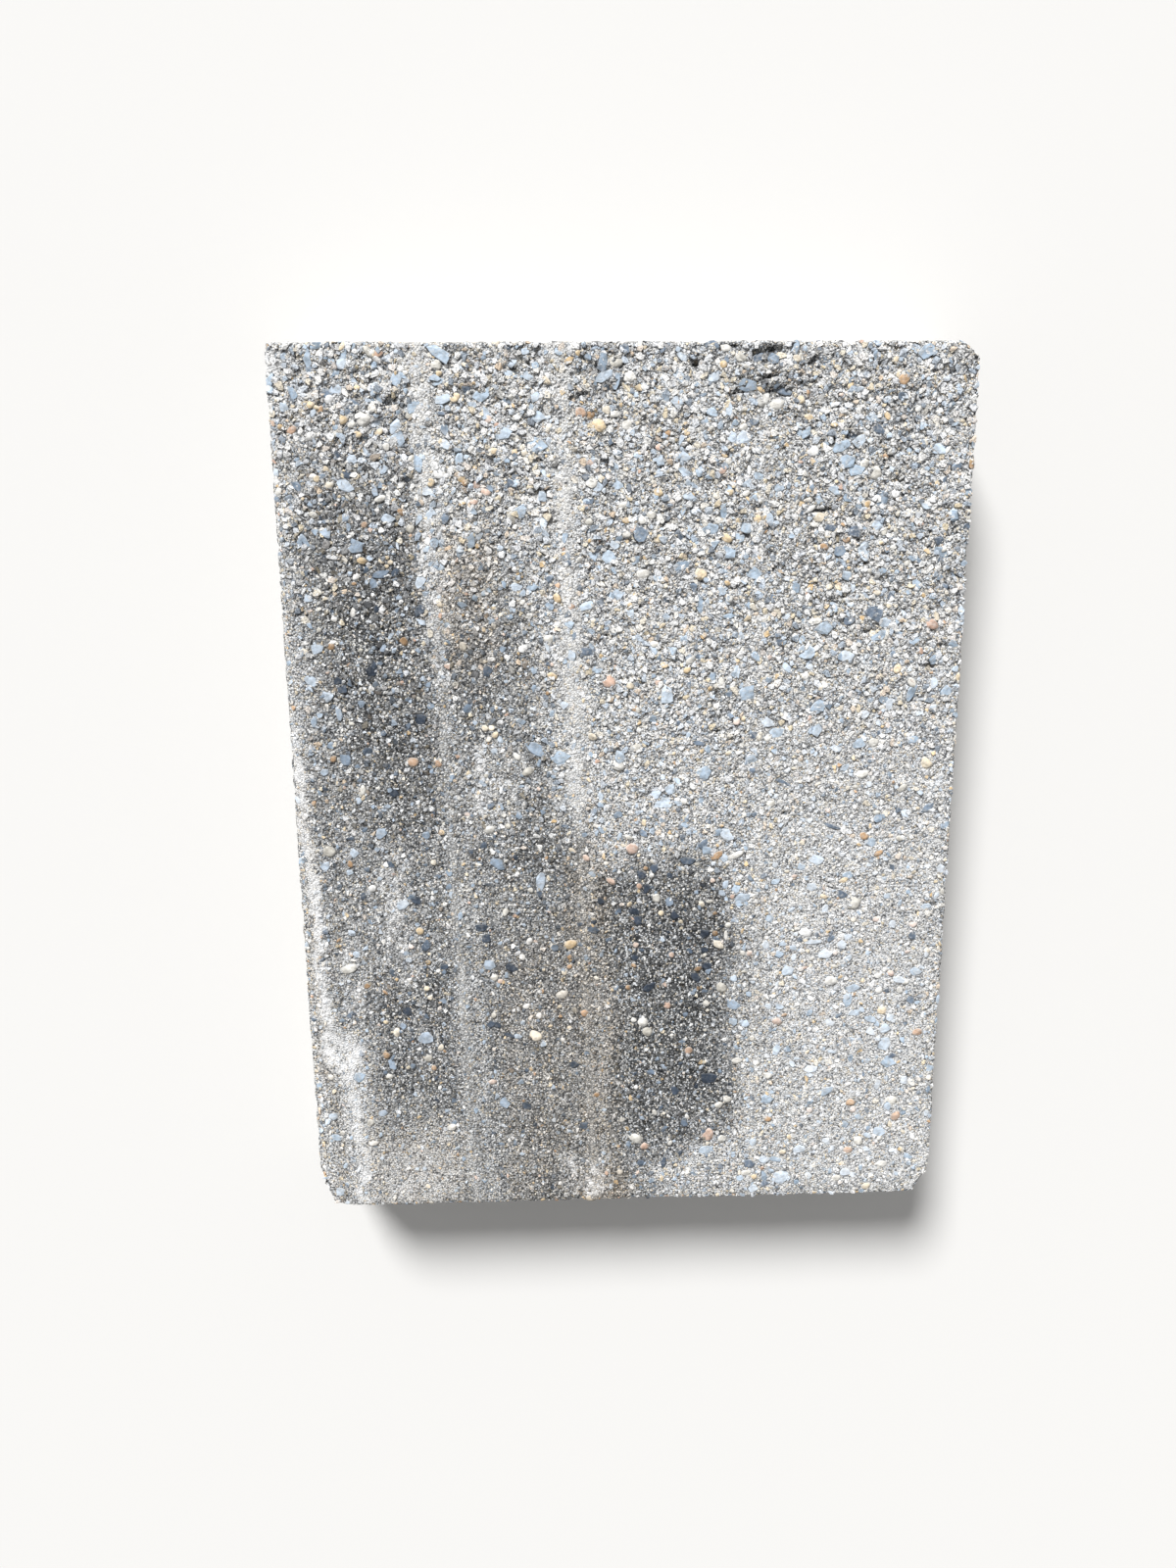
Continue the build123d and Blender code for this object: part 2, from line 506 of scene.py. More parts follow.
# Algae, and the shade painted into hollows, keep to the paste and the rough grains, and leave the
# hard bright ones clean.
DAMP_AND_SHADE_PASTE = (
    (0.0, "#404245"), (0.42, "#606263"), (0.62, "#8C8D8E"), (0.70, "#E0E1E2"), (1.0, "#F9F9F9"),
)
DIRT_BROWN = "#F6EADB"
LIME_WHITE = "#F5F5F5"


def linear(code):
    """An sRGB hex colour as linear red, green, blue and alpha."""
    parts = [int(code[k : k + 2], 16) / 255 for k in (1, 3, 5)]
    return (*[c / 12.92 if c <= 0.04045 else ((c + 0.055) / 1.055) ** 2.4 for c in parts], 1.0)


def add_node(tree, kind, settings=None, inputs=None):
    """Adds a node with its settings, its ramp's stops, and its inputs set or linked.

    A kind without the word Node in it is a shader's. A node given for an input is
    linked by its first output.
    """
    node = tree.nodes.new(kind if "Node" in kind else "ShaderNode" + kind)
    for name, value in (settings or {}).items():
        if name == "stops":
            while len(node.color_ramp.elements) < len(value):
                node.color_ramp.elements.new(1.0)
            for element, (position, code) in zip(node.color_ramp.elements, value):
                element.position, element.color = position, linear(code)
        else:
            setattr(node, name, value)
    for socket, value in (inputs or {}).items():
        if isinstance(value, bpy.types.Node):
            value = value.outputs[0]
        if isinstance(value, bpy.types.NodeSocket):
            tree.links.new(value, node.inputs[socket])
        else:
            node.inputs[socket].default_value = value
    return node


def darkened(tree, colour, pattern, stops):
    """A colour under the dark tones that a ramp gives a pattern."""
    tones = add_node(tree, "ValToRGB", {"stops": stops}, {"Fac": pattern})
    return add_node(tree, "Mix", DARKENING, {0: 1.0, 6: colour, 7: tones}).outputs[2]


def weathered(tree, colour, grain, damp_and_shade_stops, lime_share):
    """A colour as damp, dirt and lime leave it, with painted shade of hollows darkened in as damp
    is, where the mesh's numbers put them.
    """
    damp, dirt, lime = (
        add_node(tree, "Attribute", {"attribute_name": name}).outputs["Fac"]
        for name in ("damp", "dirt", "lime")
    )
    dark = darkened(tree, colour, grain, damp_and_shade_stops)
    dry = add_node(tree, "Math", MINUS, {0: 1.0, 1: damp})
    between = add_node(tree, "Math", TIMES, {0: damp, 1: dry})
    soft = add_node(tree, "Math", TIMES_AND_PLUS, {0: grain, 1: -2.0, 2: 1.0})
    held = add_node(tree, "Math", TIMES_AND_PLUS, {0: between, 1: soft, 2: damp})
    damped = add_node(tree, "Mix", COVERING, {0: held, 6: colour, 7: dark}).outputs[2]
    brown = add_node(tree, "Mix", DARKENING, {0: dirt, 6: damped, 7: linear(DIRT_BROWN)}).outputs[2]
    reach = add_node(tree, "Math", TIMES_AND_PLUS, {0: lime, 1: 2.0, 2: grain})
    caught = add_node(tree, "Math", {**MINUS, "use_clamp": True}, {0: reach, 1: 1.0})
    share = add_node(tree, "Math", TIMES, {0: caught, 1: lime_share})
    return add_node(tree, "Mix", COVERING, {0: share, 6: brown, 7: linear(LIME_WHITE)}).outputs[2]


def finish_matt(tree, colour, height, depth_mm, roughness, specular):
    """Sets the surface: its colour, a bump of this depth, and a dull sheen."""
    surface = tree.nodes["Principled BSDF"].inputs
    bump = add_node(tree, "Bump", None, {"Height": height, "Distance": depth_mm * MM})
    tree.links.new(colour, surface["Base Color"])
    tree.links.new(bump.outputs["Normal"], surface["Normal"])
    surface["Roughness"].default_value = roughness
    surface["Specular IOR Level"].default_value = specular


def new_material(name):
    """An empty material and its node tree."""
    material = bpy.data.materials.new(name)
    material.use_nodes = True
    return material, material.node_tree


def pressed_concrete():
    """Fine sand in paste: 0.85 mm grains with painted shade between them, 7 mm mottling, 60 mm
    clouding.
    """
    material, tree = new_material("pressed_concrete")
    place = add_node(tree, "TexCoord").outputs["Object"]
    sand = add_node(tree, "TexVoronoi", None, {"Vector": place, "Scale": 1 / (0.85 * MM)}).outputs
    pick = add_node(tree, "SeparateColor", None, {"Color": sand["Color"]}).outputs
    colour = add_node(tree, "ValToRGB", {"stops": SAND_IN_PASTE}, {"Fac": pick[0]})
    for width, detail, faint in CLOUDS:
        lumps = {"Vector": place, "Scale": 1 / (width * MM), "Detail": detail}
        cloud = add_node(tree, "TexNoise", None, lumps).outputs["Fac"]
        colour = darkened(tree, colour, cloud, ((0.3, faint), (0.7, "#FFFFFF")))
    colour = darkened(tree, colour, sand["Distance"], GRAIN_GAP_SHADE)
    for name, share, closed in CLOSED_BY_CEMENT:
        stored = add_node(tree, "Attribute", {"attribute_name": name}).outputs["Fac"]
        amount = add_node(tree, "Math", TIMES, {0: stored, 1: share})
        coat = {0: amount, 6: colour, 7: linear(closed)}
        colour = add_node(tree, "Mix", COVERING, coat).outputs[2]
    colour = weathered(tree, colour, pick[1], DAMP_AND_SHADE_PASTE, lime_share=0.8)
    height = add_node(tree, "Math", MINUS, {0: 1.0, 1: sand["Distance"]})
    finish_matt(tree, colour, height, depth_mm=0.45, roughness=0.92, specular=0.25)
    return material


slab_body.data.materials.append(pressed_concrete())


# Gravel of the mix, 3 to 10 mm, pressed nearly flush: angular blue-grey slate, rounded
# cream quartz, yellow sandstone and rust-red stones, all part covered with cement.
# The largest stones lie where the slab has them, as x, y, length, width and any turn.
PALE_SLATE = (
    (-132, 193, 9, 4, 90), (-121, 181, 6.5, 5), (-60, 179, 9, 6), (-89, 174, 7, 5),
    (-9, 186, 9, 4, 25), (-4, 184, 7, 4, 80), (-37.5, 170, 7.5, 5), (-52, 163, 7.5, 6),
    (-96.5, 166, 7, 6, 70), (-88, 151, 8, 4, 95), (-70.6, 153, 7, 4, 85), (-119, 142, 8, 5, -35),
    (-117, 117, 8, 7), (-106, 105, 8, 3.5, 10), (-135, 73, 5.5, 4.5), (-4, 142, 6, 5.5),
    (-12.5, 141, 6, 5), (-45, 131, 7, 6, 80), (-67, 119, 8, 4, 85), (-7, 111.5, 7, 6),
    (-2.5, 95.6, 7, 6), (-48, 98.5, 6, 5), (-41, 99, 5, 4), (-139, 59, 6, 5), (-132, 52, 6, 5),
    (-30, 23, 10, 7), (-41, 27, 9, 6), (-59, -26, 8.5, 5.5), (-39, -35, 9, 5, 85),
    (-59, -146, 6, 5.5), (37, 186, 6, 6), (51, 182, 8, 6), (36, 172, 7, 5), (50, 161, 8, 6, 20),
    (76, 163, 7, 6), (92, 157, 8, 5), (100, 159, 6, 5), (134, 156, 9, 5), (99, 147, 7, 5),
    (37, 123, 8, 6), (44, 113, 7, 6), (49, 119, 6, 5), (56, 103, 8.5, 8), (80, 69, 8, 8),
    (98, 67, 8, 6), (54, 51, 9, 7), (63, 38, 8, 5), (68, 33, 9, 5), (105, 28, 8, 5),
    (144, 51, 7, 6), (16, 1, 10, 7), (20, 7.5, 6, 5), (35, 15, 8, 7, 80), (88, -27, 7, 6),
    (76, -81, 7, 6), (106, -97, 7, 5, 85), (51, -98, 7, 6), (125, -120, 9, 8), (126, -129, 9, 6),
    (97, -144, 8, 4), (39, -174, 8, 5), (76, -190, 9, 8), (115, 82, 7, 5), (-141, -153, 6, 5),
    (-140, -164, 6, 4), (-140, -194, 5, 5), (14, 152, 6, 5), (25, 153, 5, 4), (27, 137, 6, 4),
    (66, 140, 4.5, 4), (57, 145, 5, 4), (-127.3, -131, 6, 6), (-117, -150, 4.5, 4),
    (-124, -20, 5, 4, 70), (-137, -26, 5, 4), (-135, 18, 4, 3.5), (-96, 185, 6, 5, 40),
    (-78, 184, 7, 3, 20), (-77, 177, 7, 4.5), (-118, 191, 5, 5), (-143, 174, 3.5, 5),
    (-116, 153, 4, 5), (-103, 149, 5, 4), (-97, 162, 6, 3), (-41, 186, 5, 4), (-48, 192, 6, 5),
    (-42, 196, 4, 3), (-95, -112, 7, 7), (-103, -45, 6, 5), (-64, -75.5, 5, 6, 20),
    (117, -113, 7, 4), (124, -112, 5, 6), (134.7, -139, 5, 5), (89.4, -132, 7, 4),
    (68, -148, 7, 6), (62, -170, 4, 4), (85, -175, 6, 5), (67.5, -180, 6, 4), (62.5, -195.5, 5, 5),
    (98.3, -170.5, 5, 4), (118, -168, 4, 3), (118, -175.5, 4, 3), (108, -188, 5, 5),
    (131, -176.5, 4, 3), (147, -133, 4, 4), (147, -157, 3, 4), (99, -123, 5, 2),
    (122, -141, 6, 3, 80), (113, -158, 3, 3), (81, -30, 4, 4), (69.5, -37, 5, 3, 15),
    (86, -40, 5, 5), (93.3, -51.4, 6, 3.5, 85), (122, -45, 4, 3), (87.7, -67, 8, 2.5, 5),
    (101.5, -68.6, 4, 5), (73.5, -67.5, 4, 3), (78.6, -69.5, 4, 3), (72.3, -72.7, 5, 4),
    (79, -74.5, 3, 4), (93.6, -73, 8, 5), (107.7, -90.5, 8, 4, 15), (104.7, -94.7, 4, 4),
    (110, -103, 4, 4), (117, -107, 6, 4), (126.4, -106, 4, 4), (139, -98.6, 3, 2),
    (137.3, -83, 6, 5, -20), (129.5, -87, 6, 4), (128, -48.5, 4, 2, 75), (140.5, -50.5, 5, 3),
    (146, -32, 5, 4, 70), (67.7, -99, 3, 4), (73, -99.5, 4, 3), (97, -108, 5, 4), (67, -55, 4, 4),
    (69, -29, 3, 3), (37.3, -21.5, 5, 4), (46, -38, 5, 3, 70), (44.5, -42, 4, 3), (51, -40, 5, 4),
    (54.5, -44.5, 8, 5), (52.3, -47.5, 4, 3), (20, -46, 4, 5), (51, -84.5, 4, 4),
    (58, -92.7, 3, 3), (51, -106.5, 4, 5), (57, -107.7, 4, 4),
)
DARK_SLATE = (
    (-17.5, 70.6, 8, 4), (107.5, 164, 8, 4), (-112, 63, 6, 5), (-92, 41, 7, 6), (-105, 8, 5, 4.5),
    (70, 11, 11, 2), (95, -11, 9, 2), (33, 29, 6, 2), (100.6, -44, 5, 4), (40, -136, 8, 6),
    (11, -88, 7, 4), (60.6, -182, 6, 5), (-48, -148, 5, 4), (36, 198, 7, 5), (56, 193, 9, 4),
    (66, 180, 9, 4), (-127, 59, 5, 4), (-125, 55.5, 5, 4), (-118, 147, 4, 4), (-78, 129, 4, 7, 10),
    (-97, -43, 5, 4), (-67, -57, 6, 4), (-65, -62, 5, 4.5), (-54, -77, 7, 4, -30),
    (-16, -59, 6, 2.5, -30), (-64, -105, 5, 3), (-56, -111, 6, 2, -15), (-103, -98, 5, 5),
    (-25, -127, 5, 4), (-85, -76, 4, 3), (54, 167, 4, 3), (-17, 145, 4, 3), (-107.8, -25.6, 4, 3),
    (81.4, -65.7, 3, 3), (96.4, -65.5, 4, 3), (136, -97.5, 5, 4), (13.2, -29.5, 4, 4),
    (6.8, -33, 5, 4), (9.5, -39.5, 3, 5), (5.5, -54.5, 5, 5), (3.6, -50.5, 5, 4),
    (22.3, -52.7, 5, 4), (36.4, -61.8, 5, 5), (36.8, -70, 4, 3), (4, -73, 4, 3), (38, -78, 5, 4),
    (32.7, -83.6, 5, 4), (-61.7, -105.6, 5, 3), (-12, -45, 4, 3), (-14.5, -58.5, 5, 2, -25),
    (-21.5, -56, 3, 2), (-15, -55, 3, 2),
)
QUARTZ = (
    (-79, 191, 5.5, 5), (-124, 177, 4, 4), (-110.6, 169, 8, 6), (2, 186, 7, 6), (-4, 191.5, 6, 5),
    (0.6, 166, 5, 5), (-79, 146.5, 6, 4), (-92.5, 124, 4, 4), (7.5, 104, 6, 5), (107, 146, 7.5, 7),
    (58, 176, 7, 5, 40), (64, 174, 7, 5), (-34, 76, 5, 5), (-4, 19, 7, 5), (112, 28, 5, 4.5),
    (107.5, 13.5, 7, 4), (66, 0, 5, 4), (-135, -19, 6.5, 6), (-44, 17, 7, 4), (-119, 9, 6, 4, 60),
    (-62, -10, 5.5, 4.5), (106, -48, 8, 8), (84, -62.5, 8, 5), (14, -44, 5, 5), (97, -87, 6.5, 5),
    (45, -89, 6, 6), (8, -106, 5, 5), (10, -111, 5, 5), (53, -127, 7, 3.5), (68.5, -135, 4.5, 4),
    (49, -147, 4.5, 4), (45, -150, 4.5, 4), (129, -150, 6.5, 5), (-84, -158.5, 5, 4),
    (-94, -122, 4, 4), (4.5, -167, 8, 6), (47, -168, 5, 4.5), (59, -187, 6, 3.5),
    (126, -184, 6, 5), (114, -171, 5, 5), (-17.5, -199, 5, 4), (42, 197, 5, 4), (48, 193, 6, 4),
    (44, 151, 3.5, 3.5), (11, 129, 4, 4), (-141, -132, 4, 3), (-113, -131, 4, 3.5),
    (-123, -155, 4, 4), (-137, -161, 3, 3), (-122, -166, 5, 3), (-116.5, -37, 4, 4),
    (-109, 182, 4, 3), (-101, 158, 3, 4), (-115, 167, 4, 3), (-104, 137, 7, 3, 25),
    (-94, 189, 4, 3), (-127, 86, 3, 3), (-44, -39, 3, 2.5), (-56, -49.7, 3, 4.5),
    (-47, -96.5, 4, 3), (-61.7, -81.7, 4, 3.5), (79, 131, 7, 3, 20), (50, 165, 4, 3),
    (7, 127, 4, 4), (0, 121, 5, 3), (-30, -91, 6.5, 4.5, 20), (-45, -64, 4, 3, 60),
    (-34.5, -67, 2.5, 3.5), (-129, -76, 9, 5, 15), (50.5, -24, 9, 3.5, 25), (104, -191, 5, 4),
    (122.7, -81.6, 3, 3), (119.4, -84.7, 4, 3), (130.5, -92.3, 4, 3.5), (133, -88, 4, 3),
    (120.5, -92, 4, 4), (98.6, -79.5, 4, 2), (87.7, -75.3, 3, 2), (11.8, -33, 2.5, 2.5),
    (26, -30, 2.5, 2.5), (46.8, -63, 5, 2, 90), (47.7, -58, 3, 3), (39, -46, 4, 1.8),
    (38, -97, 3, 3.5), (36.8, -72.7, 2.8, 2), (3.6, -104.5, 3, 3), (-14, -83, 3, 2),
    (55, -72, 3, 3),
)
YELLOW_STONE = (
    (-11.5, 166, 6.5, 6), (-8, 172.5, 5, 4), (-71, 178, 3.5, 3.5), (-54, 199, 4, 3),
    (-119, 169, 5, 4.5), (-126, 142.5, 5, 3), (14, 119, 4.5, 4.5), (43.5, 119, 6, 4),
    (32.5, 104, 6, 6), (84, 127.5, 7, 5), (136, 18, 7.5, 6), (27, 62, 4, 3), (96, 44, 3.5, 3.5),
    (122.5, -102.5, 5, 5), (119, -196, 5, 4.5), (-63, 37, 3.5, 3), (-60, 37, 3, 3),
    (-58.5, 34, 3.5, 3), (-61.5, 32, 3, 3), (-78.5, 187, 4, 2.5), (74, 176, 4, 3.5),
    (78, 169, 5, 3), (26, 163, 3, 3), (57, 127, 4, 4), (-132, 175, 4, 3.5), (-113, 163, 4, 3),
    (-104, 164, 4, 3), (-103, 187, 4, 2.5, 30), (-127, 149, 3, 3), (-131, 145, 3, 3),
    (-105.5, 110.6, 3, 2.2), (-103, 112, 2.5, 2), (-101.6, 110, 2.8, 2.4), (-103.3, 108.4, 2.2, 2),
    (-140.7, 72, 4, 3), (-56, 156, 3.5, 3), (-43, 155, 3, 3), (-72, 177, 4, 3), (-43, -112, 7, 6),
    (-26, -66, 7, 5, 15), (-108.4, -108.5, 5, 3.5, 80), (-95.5, -58, 4, 4), (-92, -91, 3, 3),
    (-93.5, -86.5, 3, 3), (-113.3, -103, 3, 2), (-88, -116.7, 4, 3, 60), (-88, -25, 3, 3),
    (77, -176.5, 4, 3), (106.8, -56.4, 3, 3), (142.3, -72.5, 3.5, 3), (101.4, -37, 5, 3),
    (92.3, -44.7, 4, 2.5), (35, -47.3, 3, 4), (16.4, -51.4, 3, 3), (43.5, -67.5, 6.5, 4),
    (63, -189, 3, 3), (147, -138, 3, 3), (-29, -80, 3, 3),
)
RUST_STONE = (
    (-19, 171, 5.5, 5), (-15, 170.6, 5, 4), (117.5, 184, 5.5, 5), (-140.6, 165, 5, 4),
    (-97.5, 76, 5, 4.5), (-7.3, 57.3, 7, 6.5), (-95.6, 22, 5.5, 5), (135.6, 81, 7, 5),
    (3, -20, 6.5, 6), (42, -24, 7, 4, 35), (117, -24, 5, 3), (110, -16, 5, 4), (72, -107, 5, 4),
    (140, -114, 5, 4), (30, -121, 4, 4), (109, -150, 6, 4), (110.6, -154, 4, 4),
    (-114, -120, 4, 4), (-64, -135, 4.5, 3), (40, -166, 8, 6, 80), (109, -176, 5, 4),
    (9, -171, 5, 4), (41.5, 147.5, 4, 3), (18, 163, 3.5, 3), (86, 115, 4, 3), (96, 118, 3.5, 3),
    (-129, 74, 4, 3.5), (-131, 24, 4, 3), (-113.4, -120, 3, 3), (-128, 173, 3, 4),
    (-96, 131, 4, 3), (-112, 126, 3, 3), (-58, 169, 4, 4), (-64, 142, 4, 4), (-60, 139, 5, 3.5),
    (-65, 135, 4, 2.5), (-103, 195, 5, 3), (-19.4, -100.5, 5, 4), (-59, -83.5, 3, 2.5),
    (-15, 151, 4, 3, 20), (14, 157, 3, 3), (-126, -25, 3, 4), (-100, -65.5, 3, 2.5),
    (-121, -84.5, 4, 3), (-91.7, -127, 3, 3), (89.4, -154, 3.5, 3.5), (132, -158, 6, 5),
    (69, -158, 4, 3), (117.3, -56.4, 4, 3), (98.6, -72.7, 3, 3), (125.5, -83.5, 3.5, 3),
    (133, -72.7, 3, 2), (135, -59.4, 4, 3), (78, -34.5, 3, 2), (75.5, -103.6, 3, 2),
    (6, -38, 3, 3), (9, -29.5, 2.5, 2.5), (40, -36, 2.5, 2.5), (49.4, -44, 2.5, 2.5),
    (41.4, -51.8, 2.5, 2), (41.8, -61.8, 3, 3), (4.5, -66.8, 3, 3), (3.6, -77, 3, 2),
    (21.4, -72, 3, 3), (34, -79.3, 4, 2.5), (1, -88, 3, 3), (19.5, -97.5, 4, 4), (58, -72, 3, 3),
    (-26.5, -72, 2.5, 3), (-26.5, -77, 3, 2.5), (-7, -35.5, 5, 3), (-18.5, -24, 4, 3),
)
# A laid stone's height over the skin, its depth for its width, and the most that it
# leans, in radians, and turns, in degrees. The skin is probed this far round its middle.
STONE_RISE = 0.5
STONE_DEPTH = 0.6
STONE_LEAN = 0.12
STONE_TURN = 40
PROBE = 1.5
PROBE_HEIGHT = 200
SLATE_CROWN = 0.4
PEBBLE_CROWN = 0.5
# Loose stones keep off a laid one to its length and width, added up, over this number.
KEEP_OFF = 4.6


def lump_shape(name, corners, jitter, crown, foot, seed):
    """A convex lump within 1 mm of its middle, cut flat above its crown, its rise counted from its
    foot.
    """
    chance = np.random.default_rng(seed)
    turn = math.pi * (3 - math.sqrt(5))
    spots = []
    for k in range(corners):
        height = 1 - 2 * (k + 0.5) / corners
        ring = math.sqrt(1 - height * height)
        spots.append((ring * math.cos(turn * k), ring * math.sin(turn * k), height))
    spots = np.array(spots) + chance.uniform(-jitter, jitter, (corners, 3))
    low, high = spots.min(axis=0), spots.max(axis=0)
    spots = (2 * spots - low - high) / (high - low)
    spots[:, 2] = np.minimum(spots[:, 2], crown + 0.2 * spots[:, 0])
    shape = bmesh.new()
    for spot in spots:
        shape.verts.new(spot * MM)
    hull = bmesh.ops.convex_hull(shape, input=shape.verts)
    spare = {part for part in hull["geom_interior"] + hull["geom_unused"] if part in shape.verts[:]}
    bmesh.ops.delete(shape, geom=list(spare), context="VERTS")
    mesh = bpy.data.meshes.new(name)
    shape.to_mesh(mesh)
    shape.free()
    write_value(mesh, "rise", (read_points(mesh)[:, 2] - foot) / (crown - foot))
    return bpy.data.objects.new(name, mesh)


def lump_set(name, kinds, corners, jitter, crown, foot):
    """Lumps of one sort, to pick from."""
    lumps = bpy.data.collections.new(name)
    for k in range(kinds):
        lumps.objects.link(lump_shape(f"{name}_{k}", corners, jitter, crown, foot, 100 + k))
    return lumps


def lay_stones(name, rows, lumps, crown, tints, seed):
    """One mesh of stones laid flat in the skin, at the places that the rows give."""
    chance = np.random.default_rng(seed)
    skin = BVHTree.FromObject(slab_body, bpy.context.evaluated_depsgraph_get())
    corners, faces, values, rises = [], [], [], []
    for x, y, length, width, *turn in rows:
        ground = [
            skin.ray_cast(Vector((x + dx, y + dy, PROBE_HEIGHT)) * MM, Vector((0, 0, -1)))[0]
            for dx, dy in ((0, 0), (PROBE, 0), (-PROBE, 0), (0, PROBE), (0, -PROBE))
        ]
        level = np.mean([spot.z for spot in ground if spot]) / MM
        half_depth = STONE_DEPTH * width / 2
        tip = [chance.uniform(-STONE_LEAN, STONE_LEAN) for _ in range(2)]
        turn = turn[0] if turn else chance.uniform(-STONE_TURN, STONE_TURN)
        put = Matrix.Translation((x, y, level + STONE_RISE - crown * half_depth))
        put = put @ Euler((*tip, 0)).to_matrix().to_4x4()
        put = put @ Matrix.Rotation(math.radians(turn), 4, "Z")
        put = put @ Matrix.Diagonal((length / 2, width / 2, half_depth, 1))
        shape = lumps.objects[int(chance.integers(len(lumps.objects)))].data
        first = len(corners)
        corners += [put @ (v.co / MM) for v in shape.vertices]
        faces += [[first + k for k in face.vertices] for face in shape.polygons]
        values += [chance.uniform(*tints)] * len(shape.vertices)
        rises += [v.co.z / MM / crown for v in shape.vertices]
    laid = new_mesh_object(name, [tuple(c) for c in corners], faces)
    spots = read_points(laid.data)
    stored = {**weather_at(spots[:, 0], spots[:, 1]), "tint": values, "rise": rises}
    for key, value in stored.items():
        write_value(laid.data, key, value)
    return laid


chips = lump_set("chip_lump", kinds=9, corners=22, jitter=0.3, crown=SLATE_CROWN, foot=0)
pebbles = lump_set("pebble_lump", kinds=6, corners=26, jitter=0.18, crown=PEBBLE_CROWN, foot=0)

# Loose stones and sand lie where laid stones and crevices leave room. The coarse gravel
# shows where no cement closed the face, and the grit shows through where it did.
covered = np.zeros(len(points))
for x, y, length, width, *turn in PALE_SLATE + DARK_SLATE + QUARTZ + YELLOW_STONE + RUST_STONE:
    near = np.hypot(points[:, 0] - x, points[:, 1] - y) / ((length + width) / KEEP_OFF)
    covered = np.maximum(covered, fade(near, 1.25, -0.35))
weather["laid"] = np.maximum(covered, 0.94 * crevice)
coarse = thinned(bed, fin=0.6, lime=0.8) * (1 - few_stones**1.5)
sandy = thinned(thinned(bed, fin=0.3, rim=0.3) + 0.1 * side, laid=1)
gritty = thinned(bed * (0.4 + 0.6 * few_stones), fin=0.6, lime=0.7, laid=1, damp=0.5)
for name, values in (
    ("grade", (0.88 + 0.22 * fade(points[:, 1], -60, 200)) * (1 - 0.24 * few_stones**2)),
    ("coarse", thinned(coarse, laid=1)),
    ("sandy", sandy),
    ("stony", thinned(sandy * (1 - 0.8 * few_stones**2), fin=0.5, lime=0.5)),
    ("gritty", gritty),
):
    write_value(slab_body.data, name, values)


